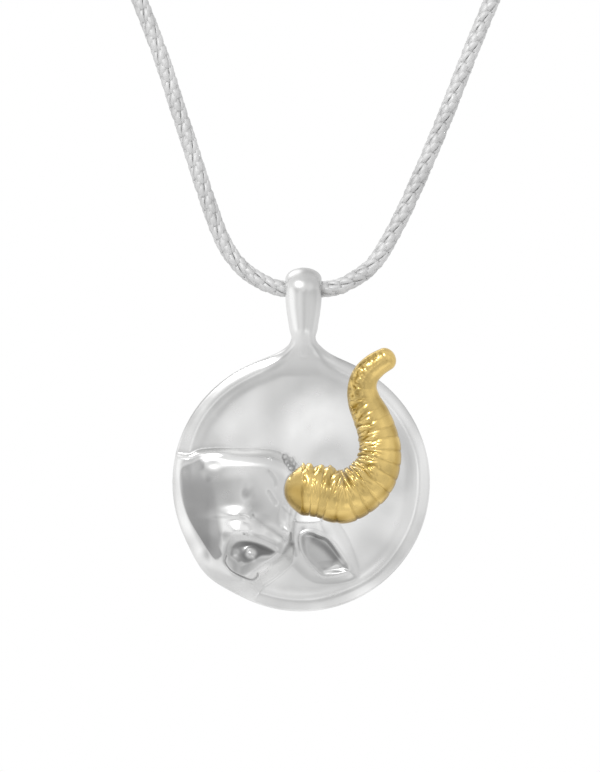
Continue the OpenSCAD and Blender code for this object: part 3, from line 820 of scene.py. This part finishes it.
def plane_painted_shade(p):
    """Painted shade on the plane of the forehead and nose, for a dark reflection: crisp along its left
    and upper left edge, soft elsewhere.
    """
    x, z = p[:, 0], p[:, 1]
    inside = inside_distance(p, BROW_PLANE)
    left_edge = PLANE_LEFT + PLANE_BEND * np.minimum(z - PLANE_BEND_Z, 0)**2
    upper_left = above(z, *PLANE_UP_FADE) * below(x, *PLANE_UP_LEFT_FADE)
    crisp = np.maximum(below(x, left_edge, PLANE_LEFT_W), upper_left)
    head = ease(inside / (PLANE_SOFT - (PLANE_SOFT - PLANE_CRISP) * crisp))
    middle, lean, width = PLANE_EDGE
    left = below(x, middle + lean * z, width)
    deep = PLANE_DARK + PLANE_LOW_DARK * ease(-z / PLANE_LOW_H)
    brow = BROW_DARK * (1 - left) * below(x, *BROW_FADE) * above(z, *BROW_LOW_FADE)
    return head * (deep * left + brow)


def eye_patina_and_painted_shade(p):
    """Patina and painted shade in the eye's hollow, lifted at its bright spots, and painted shade on the
    lids round it.
    """
    x, z = p[:, 0], p[:, 1]
    inside = inside_distance(p, EYE_OUTLINE)
    dark = EYE_DARK + EYE_RIGHT_DARK * above(x + 0.5 * z, *EYE_RIGHT_FADE)
    dark = dark * ease(0.25 + inside / 0.4)
    for spot_x, spot_z, radius, light in BRIGHT_SPOTS:
        dark = dark * (1 - light * ease(1.5 - spot_distance(p, (spot_x, spot_z)) / radius))
    lids = LID_DARK * above(inside, *LID_FADE) * below(z, *LID_TOP_FADE)
    return np.maximum(dark, lids)


def ear_patina_and_painted_shade(p):
    """Patina and painted shade in the ear's hollow, darkest along its valley and right wall, left out at
    the glint at its lower end, and painted shade on its rim.
    """
    inside = inside_distance(p, EAR_EDGE)
    valley = line_distance(p, smooth_line(EAR_VALLEY[:3]))
    right = above(p[:, 0] + 0.3 * p[:, 1], *EAR_WALL_FADE)
    dark = EAR_DARK * ease(inside / 0.2) + EAR_DARK * bell(valley / EAR_VALLEY_DARK_W)
    dark = dark + EAR_WALL_DARK * bell((inside - 0.12) / 0.12) * right
    glint = below(line_distance(p, EAR_GLINT) / EAR_GLINT_W, 1.15, 0.4)
    hollow = dark * ease(inside / 0.1) * (1 - glint)
    return np.maximum(hollow, EAR_RIM_DARK * bell(inside / EAR_RIM_DARK_W))


def foot_painted_shade(p):
    """Painted shade where the ear and the head meet the disc, and on the slope along the head's top."""
    x, z = p[:, 0], p[:, 1]
    ear = inside_distance(p, EAR_FOOT)
    head = inside_distance(p, HEAD_OUTLINE)
    at_ear = EAR_FOOT_DARK * bell((ear - 0.4) / 0.5) * ease(0.5 - head / 0.5)
    at_head = HEAD_FOOT_DARK * bell((head + 0.05) / 0.3) * above(z, *HEAD_FOOT_FADE)
    top = TOP_DARK * bell((head - 0.55) / 0.4) * above(x, *TOP_LEFT_FADE) * above(z, *TOP_LOW_FADE)
    return np.maximum.reduce([at_ear, at_head, top])


def crease_patina_and_painted_shade(p):
    """Patina and painted shade in the engraved line, the grooves round the tuft's knobs and the creases,
    and painted shade at the dark spots.
    """
    dark = LINE_DARK * bell(line_distance(p, smooth_line(LINE)) / (LINE_W * 1.2))
    for knob in TUFT:
        dark = np.maximum(dark, LINE_DARK * bell((spot_distance(p, knob) - 1.4 * TUFT_R) / 0.1))
    for x, z, radius, deep in DARK_SPOTS:
        dark = np.maximum(dark, deep * bell(spot_distance(p, (x, z)) / radius))
    for width, height, points in STROKES:
        if height < 0:
            deep = min(CREASE_DARK, -CREASE_GAIN * height)
            dark = np.maximum(dark, deep * bell(line_distance(p, smooth_line(points)) / width))
    return dark


# Painted shade on the right side of the bail's strap.
def strap_painted_shade(p):
    return STRAP_DARK * above(p[:, 0] - BAIL_X, *STRAP_FADE) * above(p[:, 1], *STRAP_LOW_FADE)


def edge_painted_shade(p):
    """Band of painted shade along the disc's upper edge, on both sides of the bail."""
    band = EDGE_DARK * bell((edge_inset(p) - EDGE_DARK_IN) / EDGE_DARK_W)
    return band * above(p[:, 1], *EDGE_LOW_FADE) * above(np.abs(p[:, 0] - BAIL_X), *EDGE_BAIL_FADE)


def silver_patina_and_painted_shade(points):
    """Patina and painted shade on the silver's front, in its hollows and creases, and painted shade on
    its planes, spots and edge.
    """
    p = points[:, [0, 2]] - (DISC[0], DISC[2])
    height = DISC[1] - points[:, 1]
    makers = (plane_painted_shade, eye_patina_and_painted_shade, ear_patina_and_painted_shade, foot_painted_shade, crease_patina_and_painted_shade, strap_painted_shade)
    dark = np.maximum.reduce([make(p) for make in makers]) * above(height, *RELIEF_SHADE_FADE)
    return np.maximum(dark, edge_painted_shade(p) * above(height, *EDGE_SHADE_FADE))


def make_medallion():
    disc = add_mesh("disc", *disc_and_head())
    strap = add_mesh("strap", *bail())
    obj = joined(disc, strap, "silver_medallion")
    soften(obj.data, near_bail_foot, JOINT_ROUNDS)
    points = mesh_points(obj.data) / MM
    # Patina and painted shade of the front, as values for the material.
    set_values(obj, "patina_and_painted_shade", silver_patina_and_painted_shade(points))
    # Patches of wear and painted sheen: their light and dark clouds stand in for reflections on the
    # face, and are fainter on the back.
    front = above(DISC[1] - points[:, 1], 0.3, 0.6)
    patches = waves(points[:, [0, 2]] - DISC[[0, 2]], 7.0, seed=639)
    set_values(obj, "wear_and_painted_sheen", 0.5 + patches * (0.15 + 0.35 * front))
    return obj


def crease(phase, width):
    """1 at whole phases and 0 between them, over a share of the phase."""
    f = phase % 1
    return bell(np.minimum(f, 1 - f) / width)


HORN_TURN = np.arange(HORN_SIDES) * 2 * math.pi / HORN_SIDES
HORN_AROUND = np.stack([np.cos(HORN_TURN), np.sin(HORN_TURN)], axis=-1)
# 1 on the inner side of the horn's curl, -1 on its outer side.
HORN_INNER = HORN_AROUND[:, 0]


def around_horn(along):
    """Places for the noise on the horn's rings, at some lengths along it."""
    shape = (len(along), HORN_SIDES)
    around = np.broadcast_to(HORN_AROUND * NOISE_R, (*shape, 2))
    down = np.broadcast_to(along[:, None, None], (*shape, 1))
    return np.concatenate([around, down], axis=-1)


def horn_rings(middle, side, up, radius):
    """Points of rings about their middles, with their directions and a table of radii."""
    across = HORN_AROUND[:, :1] * side[..., None, :] + HORN_AROUND[:, 1:] * up[..., None, :]
    return middle[:, None] + radius[..., None] * across


def horn_zones(share):
    """How wild the folds are, on the curl's inner side, and how plain the ribs, on its outer side."""
    column = bell((HORN_TURN - math.radians(COLUMN_AT)) / math.radians(COLUMN_W))
    upper = above(share, *COLUMN_FADE)
    wild = ease(0.35 + 1.1 * HORN_INNER) * (1 - upper) + column * upper
    calm = ease(0.3 - 1.4 * HORN_INNER) * (1 - 0.9 * above(share, *CALM_FADE))
    return wild * (1 - 0.5 * above(share, *TIP_FADE)), calm


def horn_ribs(share, length):
    """Relief, patina and painted shade, and wear and painted sheen of the horn's body, in tables of
    rings and sides.
    """
    place = around_horn(length)
    share, length = share[:, None], length[:, None]
    wild, calm = horn_zones(share)
    sway = 0.22 * waves(place, 7.0, seed=11) + 0.12 * waves(place, 2.0, seed=15) * (0.4 + wild)
    phase = length / length[-1] * RIB_COUNT + 1 + sway
    facets = np.random.default_rng(21).uniform(0, 1, RIB_COUNT + 3)
    facet = facets[np.floor(phase).astype(int)] - 0.5
    dome = 1 - (2 * (phase % 1) - 1)**2
    cut = crease(phase, RIB_CUT_W)
    fold = np.abs(waves(place * [1, 1, 3.4], 2.2, seed=13)) - 0.5
    wrinkle = np.abs(waves(place * [1.6, 1.6, 5.0], 2.0, seed=17)) - 0.5

    relief = wild * (0.9 * dome - 0.4 * cut + 1.1 * fold + 0.6 * wrinkle - 0.5)
    relief = relief + calm * (0.15 * dome - 0.3 * cut + 0.28 * facet * ease(dome * 3))

    # Patina and painted shade in the folds and the creases between ribs, lighter near the base, painted
    # shade along the underside, and a dark start at the base.
    clean = 0.6 + 0.4 * above(share, *BASE_FADE)
    dark = clean * wild * (0.4 * cut - 1.7 * fold - 0.9 * wrinkle - 0.1) + calm * 0.25 * cut
    under = below(HORN_INNER, -0.55, 0.25) * 0.8 * (1 - 0.9 * share)
    dark = dark + under * (0.8 + 0.5 * waves(place, 1.2, seed=14))
    dark = dark + 0.5 * bell(length / 0.25) * (1 - ease(HORN_INNER * 2))

    # Each facet on the outer side gets a tone of its own, wear and painted sheen, with soft patches over
    # all.
    wear_and_painted_sheen = 0.45 + calm * (0.2 + 0.7 * facet) + 0.25 * waves(place, 3.0, seed=16)
    return relief, clamp01(dark), clamp01(wear_and_painted_sheen)


def make_horn():
    share = np.linspace(0, 1, HORN_RINGS)
    route = through(HORN_ROUTE, share * (len(HORN_ROUTE) - 1))
    middle = at_disc(route[:, 0], route[:, 2], route[:, 1])
    way = unit(np.gradient(middle, axis=0))
    side = unit(np.cross(way, [0, 1, 0]))
    up = np.cross(side, way)
    first, last = middle[0] - way[0] * BASE_CAP, middle[-1] + way[-1] * TIP_CAP

    q = np.linspace(0.02, 0.97, BASE_RINGS)[:, None]
    base = horn_rings(first + way[0] * BASE_CAP * q, side[0], up[0], route[0, 3] * q**CAP_POWER)
    # Base end darker, less so on the curl's inner side.
    patches = waves(around_horn(q[:, 0] - 1), 1.5, seed=18)
    base_dark = clamp01(0.45 + 0.25 * patches - 0.4 * ease(HORN_INNER * 2))

    relief, dark, wear_and_painted_sheen = horn_ribs(share, length_along(middle))
    body = horn_rings(middle, side, up, route[:, 3:] * (1 + RIB_SHARE * relief))

    q = np.sin(np.linspace(0.1, 1.5, TIP_RINGS))[:, None]
    tip_radius = route[-1, 3] * np.sqrt(1 - q * q)
    tip = horn_rings(middle[-1] + way[-1] * TIP_CAP * q, side[-1], up[-1], tip_radius)

    obj = add_mesh("gold_horn", *skin(first, np.concatenate([base, body, tip]), last))
    at_base, at_tip = np.ones(BASE_RINGS * HORN_SIDES), np.ones(TIP_RINGS * HORN_SIDES)
    patina_and_painted_shade = [[0.5], base_dark.ravel(), dark.ravel(), 0 * at_tip, [0]]
    set_values(obj, "patina_and_painted_shade", np.concatenate(patina_and_painted_shade))
    wear_and_sheen = [[0.4], 0.3 * at_base, wear_and_painted_sheen.ravel(), 0.6 * at_tip, [0.6]]
    set_values(obj, "wear_and_painted_sheen", np.concatenate(wear_and_sheen))
    return obj


def link_curve():
    """One folded link, upright: its fold lies across the axis and both its loops rise along it."""
    quarter = np.array([
        [0.2, 0.0, 0.0],
        [0.21, 0.32, 0.02],
        [0.26, 0.47, 0.26],
        [0.31, 0.49, 0.62],
        [0.27, 0.40, 1.05],
        [0.0, 0.24, 1.40],
    ])
    front_right = quarter[:-1]
    front_left = quarter[:0:-1] * (-1, 1, 1)
    back_left = quarter[:-1] * (-1, -1, 1)
    back_right = quarter[:0:-1] * (1, -1, 1)
    return np.vstack([front_right, front_left, back_left, back_right])


def chain_frames():
    """Dense points of the chain's middle, their lengths along it and two directions square to it."""
    middle = through(CHAIN_ROUTE, np.linspace(0, len(CHAIN_ROUTE) - 1, ROUTE_STEPS + 1))
    way = unit(np.gradient(middle, axis=0))
    side = np.empty_like(way)
    side[0] = np.cross(way[0], CHAIN_ACROSS)
    for k in range(1, len(way)):
        side[k] = unit(side[k - 1] - way[k] * (way[k] @ side[k - 1]))
    return middle, length_along(middle), side, np.cross(way, side)


def link_wires():
    """Middle line of each link's wire, twisted along the route, and its offset from the middle."""
    middle, length, side, up = chain_frames()
    link = link_curve()
    starts = np.arange(FIRST_LINK, length[-1] - LAST_LINK, LINK_STEP / 2)
    along = starts[:, None] + link[:, 2]
    quarter = (np.arange(len(starts)) % 2) * math.pi / 2
    twist = quarter[:, None] + along * 2 * math.pi / TURN_LENGTH
    x = link[:, 0] * np.cos(twist) - link[:, 1] * np.sin(twist)
    y = link[:, 0] * np.sin(twist) + link[:, 1] * np.cos(twist)

    def at(table):
        return np.stack([np.interp(along, length, table[:, k]) for k in range(3)], axis=-1)

    offset = x[..., None] * at(side) + y[..., None] * at(up)
    return at(middle) + offset, offset


def flat_wire(wire, offset):
    """Points round each link's wire, which is thin along its offset and wide across it."""
    run = unit(np.roll(wire, -1, 1) - np.roll(wire, 1, 1))
    out = offset - run * np.sum(offset * run, axis=-1, keepdims=True)
    out /= np.maximum(np.linalg.norm(out, axis=-1, keepdims=True), 1e-9)
    across = np.cross(run, out)
    a = (np.arange(WIRE_SIDES) * 2 * math.pi / WIRE_SIDES)[:, None]
    section = WIRE_T * np.cos(a) * out[:, :, None] + WIRE_W * np.sin(a) * across[:, :, None]
    return wire[:, :, None] + section


def make_chain():
    """Folded links in two crossed rows, each through the one before, in a right and a left strand."""
    points = flat_wire(*link_wires())
    count, n = points.shape[:2]
    i, j = np.meshgrid(np.arange(n), np.arange(WIRE_SIDES), indexing="ij")
    i2, j2 = (i + 1) % n, (j + 1) % WIRE_SIDES
    corners = [(i, j), (i2, j), (i2, j2), (i, j2)]
    face = np.stack([ring * WIRE_SIDES + at for ring, at in corners], axis=-1).reshape(-1, 4)
    strands = {"chain_right": points[:count // 2], "chain_left": points[count // 2:]}
    made = []
    for name, part in strands.items():
        first = np.arange(len(part))[:, None, None] * n * WIRE_SIDES
        made.append(add_mesh(name, part.reshape(-1, 3), (face[None] + first).reshape(-1, 4)))
    return made


def fill(tree, node, values):
    """Gives each of a node's inputs its value, or a link where the value is another node's output."""
    for key, value in values.items():
        if isinstance(value, bpy.types.NodeSocket):
            tree.links.new(value, node.inputs[key])
        else:
            node.inputs[key].default_value = value


def add_node(tree, kind, values=None, **settings):
    """A shader node of a kind, with its settings and its inputs."""
    node = tree.nodes.new("ShaderNode" + kind)
    for name, setting in settings.items():
        setattr(node, name, setting)
    fill(tree, node, values or {})
    return node


# Scales of the fine noise over every metal, and of the coarse one where the mesh carries no values for
# wear and painted sheen.
FINE_SCALE = 700
COARSE_SCALE = 250
# Share of the fine noise that joins the patches, and the sum under which the metal is at its dullest.
FINE_SHARE = 0.35
DULLEST = 0.35


def wear_and_sheen_colour(tree, value, colour, dull):
    """The metal's colour where a value is high, and a duller one where it is low."""
    shade = add_node(tree, "ValToRGB", {"Fac": value})
    shade.color_ramp.interpolation = "EASE"
    low, high = shade.color_ramp.elements
    low.position = DULLEST
    low.color = (*[c * dull for c in colour], 1)
    high.position = 1.0
    high.color = (*colour, 1)
    return shade.outputs["Color"]


def metal(name, colour, dark, dull, roughness, uneven, uneven_size, metallic=1.0, wear_and_sheen=True):
    """Polished metal with patches of wear and painted sheen, faint casting unevenness, and patina and
    painted shade darkening its colour.

    Where the mesh carries no values for its wear and painted sheen, the last argument is False and a
    coarse noise gives them.
    """
    mat = bpy.data.materials.new(name)
    mat.use_nodes = True
    tree = mat.node_tree
    place = add_node(tree, "TexCoord").outputs["Object"]
    patch = add_node(tree, "TexNoise", {"Vector": place, "Scale": FINE_SCALE, "Detail": 4})
    if wear_and_sheen:
        wear_and_painted_sheen = add_node(tree, "Attribute", attribute_name="wear_and_painted_sheen")
    else:
        wear_and_painted_sheen = add_node(tree, "TexNoise", {"Vector": place, "Scale": COARSE_SCALE})
    fine = add_node(tree, "Math", {
        0: patch.outputs["Fac"],
        1: FINE_SHARE,
        2: wear_and_painted_sheen.outputs["Fac"],
    }, operation="MULTIPLY_ADD")
    # Patina and painted shade from the mesh's values darken the colour towards the dark one.
    hollow = add_node(tree, "Attribute", attribute_name="patina_and_painted_shade")
    mix = add_node(tree, "Mix", {
        "Factor": hollow.outputs["Fac"],
        "A": wear_and_sheen_colour(tree, fine.outputs["Value"], colour, dull),
        "B": (*dark, 1),
    }, data_type="RGBA")
    rub = add_node(tree, "MapRange", {
        "Value": patch.outputs["Fac"],
        "To Min": roughness * 0.8,
        "To Max": roughness * 1.3,
    })
    grain = add_node(tree, "TexNoise", {
        "Vector": place,
        "Scale": 1 / (uneven_size * MM),
        "Detail": 3,
    })
    bump = add_node(tree, "Bump", {
        "Height": grain.outputs["Fac"],
        "Strength": 1.0,
        "Distance": uneven * MM,
    })
    fill(tree, tree.nodes["Principled BSDF"], {
        "Metallic": metallic,
        "Base Color": mix.outputs["Result"],
        "Roughness": rub.outputs["Result"],
        "Normal": bump.outputs["Normal"],
    })
    return mat


# Colour, colour of the patina and painted shade, share of it where dull, roughness, height and size of
# the unevenness.
SILVER = metal("polished_silver", (0.97, 0.97, 0.965), (0.2, 0.2, 0.2), 0.8, 0.24, 0.0015, 1.2)
CHAIN_SILVER = metal(
    "chain_silver", (0.78, 0.78, 0.78), (0.4, 0.4, 0.4), 0.88, 0.55, 0.003, 0.25, metallic=0.6)
CLASP_SILVER = metal(
    "clasp_silver", (0.92, 0.92, 0.92), (0.4, 0.4, 0.4), 0.8, 0.22, 0.004, 0.5, wear_and_sheen=False)
GOLD = metal("polished_gold", (0.92, 0.675, 0.252), (0.33, 0.2, 0.03), 0.78, 0.2, 0.004, 0.3)


def dress(obj, material, node, body):
    obj.data.materials.clear()
    obj.data.materials.append(material)
    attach(obj, body)
    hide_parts(node)
    if "wear_and_painted_sheen" not in obj.data.attributes:
        set_values(obj, "wear_and_painted_sheen", 0.65 + 0.35 * waves(mesh_points(obj.data) / MM, 5.0, seed=7))


dress(make_medallion(), SILVER, "medallion", "pendant")
dress(make_horn(), GOLD, "horn", "pendant")
bpy.data.objects["gold_horn"].visible_glossy = False
for strand in make_chain():
    dress(strand, CHAIN_SILVER, "chain", "necklace")
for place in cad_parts["clasp"].material_slots:
    place.material = CLASP_SILVER


# Floor, in metres.
FLOOR_R = 0.18
FLOOR_T = 0.004
FLOOR_AT = (0, -0.06, -0.4)


def make_floor():
    """A pale round floor below the pendant."""
    bpy.ops.mesh.primitive_cylinder_add(vertices=128, radius=FLOOR_R, depth=FLOOR_T, location=FLOOR_AT)
    floor = bpy.context.object
    floor.name = "floor"
    paint = bpy.data.materials.new("floor_paint")
    paint.use_nodes = True
    shader = paint.node_tree.nodes["Principled BSDF"]
    fill(paint.node_tree, shader, {"Base Color": (0.9, 0.9, 0.9, 1), "Roughness": 0.7})
    floor.data.materials.append(paint)


# Lights of the studio: direction, degrees from it where the light starts and ends fading, gain.
STUDIO = [
    # bright card at the camera's lens, and the dim room around it
    ((0, -1, -0.015), 1, 6.5, 0.6),
    ((0, -1, -0.04), 9, 28, -0.1),
    # two soft boxes above the camera
    ((-0.20, -0.75, 0.64), 5, 18, 0.75),
    ((-0.48, -0.63, 0.61), 6, 15, 0.6),
    # card high on the left
    ((-0.66, -0.46, 0.58), 5, 13, 0.3),
    # soft box at the right
    ((0.62, -0.70, 0.36), 2, 22, 0.13),
    # small card low on the right
    ((0.60, -0.50, -0.60), 5, 15, 0.18),
    # bright strip far on the left
    ((-0.94, -0.30, -0.12), 14, 30, 0.22),
    # grey card on the left, below the middle
    ((-0.66, -0.72, -0.10), 10, 26, -0.2),
    # grey table below the camera, and a grey card on the right
    ((0.20, -0.90, -0.40), 10, 26, -0.14),
    ((0.85, -0.50, -0.20), 16, 34, -0.12),
    # ceiling behind, bright on the left
    ((-0.38, 0.50, 0.76), 10, 26, 0.6),
    ((0.15, 0.50, 0.85), 10, 26, -0.1),
]
# Level of the studio without them, how far its clouds go above and below it, and their scale.
STUDIO_BASE = 0.795
STUDIO_CLOUD = 0.06
CLOUD_SCALE = 3.2


def add_glow(tree, way, total, aim, inner, outer, gain):
    """Adds the gain of one light to the total, round the direction it comes from."""
    aim = Vector(aim).normalized()
    dot = add_node(tree, "VectorMath", {0: way, 1: aim}, operation="DOT_PRODUCT")
    fade = add_node(tree, "MapRange", {
        "Value": dot.outputs["Value"],
        "From Min": math.cos(math.radians(outer)),
        "From Max": math.cos(math.radians(inner)),
        "To Min": 0,
        "To Max": gain,
    }, interpolation_type="SMOOTHSTEP")
    add = add_node(tree, "Math", {0: total, 1: fade.outputs["Result"]}, operation="ADD")
    return add.outputs["Value"]


def make_world():
    """A cloudy studio with its cards and soft boxes, white where the camera looks straight at it."""
    world = bpy.data.worlds.new("studio")
    bpy.context.scene.world = world
    world.use_nodes = True
    tree = world.node_tree
    way = add_node(tree, "TexCoord").outputs["Generated"]
    cloud = add_node(tree, "TexNoise", {"Vector": way, "Scale": CLOUD_SCALE, "Detail": 1.5})
    level = add_node(tree, "MapRange", {
        "Value": cloud.outputs["Fac"],
        "From Min": 0.3,
        "From Max": 0.7,
        "To Min": STUDIO_BASE - STUDIO_CLOUD,
        "To Max": STUDIO_BASE + STUDIO_CLOUD,
    })
    total = level.outputs["Result"]
    for light in STUDIO:
        total = add_glow(tree, way, total, *light)
    seen = add_node(tree, "LightPath").outputs["Is Camera Ray"]
    backdrop = add_node(tree, "Math", {0: seen, 1: total}, operation="MAXIMUM")
    fill(tree, tree.nodes["Background"], {"Color": backdrop.outputs["Value"]})


def add_light(name, place, aim, size, power):
    data = bpy.data.lights.new(name, "AREA")
    data.shape = "DISK"
    data.size = size
    data.energy = power
    obj = bpy.data.objects.new(name, data)
    obj.location = place
    obj.rotation_euler = (Vector(aim) - Vector(place)).to_track_quat("-Z", "Y").to_euler()
    bpy.context.scene.collection.objects.link(obj)


# Photograph's frame: millimetres to the pixel, its size, where it shows the bail, and camera distance.
PIXEL = 0.0854
PICTURE = (600, 772)
BAIL_PIXEL = (303.5, 289.5)
CAMERA_AWAY = 600
SENSOR = 36


def make_camera():
    data = bpy.data.cameras.new("camera")
    obj = bpy.data.objects.new("camera", data)
    x = HINGE[0] + (PICTURE[0] / 2 - BAIL_PIXEL[0]) * PIXEL
    z = HINGE[2] - (PICTURE[1] / 2 - BAIL_PIXEL[1]) * PIXEL
    obj.location = Vector((x, HINGE[1] - CAMERA_AWAY, z)) * MM
    obj.rotation_euler = (math.pi / 2, 0, 0)
    data.sensor_fit = "AUTO"
    data.sensor_width = SENSOR
    data.lens = SENSOR * CAMERA_AWAY / (PICTURE[1] * PIXEL)
    data.clip_start = 0.01
    data.clip_end = 20
    bpy.context.scene.collection.objects.link(obj)
    bpy.context.scene.camera = obj


make_floor()
make_world()
PENDANT = (-0.001, -0.12, -0.188)
add_light("key", (-0.2, -0.45, 0.15), PENDANT, 0.06, 0.4)
add_light("low", (0.12, -0.42, -0.42), PENDANT, 0.16, 0.02)
make_camera()
bpy.context.scene.view_settings.view_transform = "Standard"
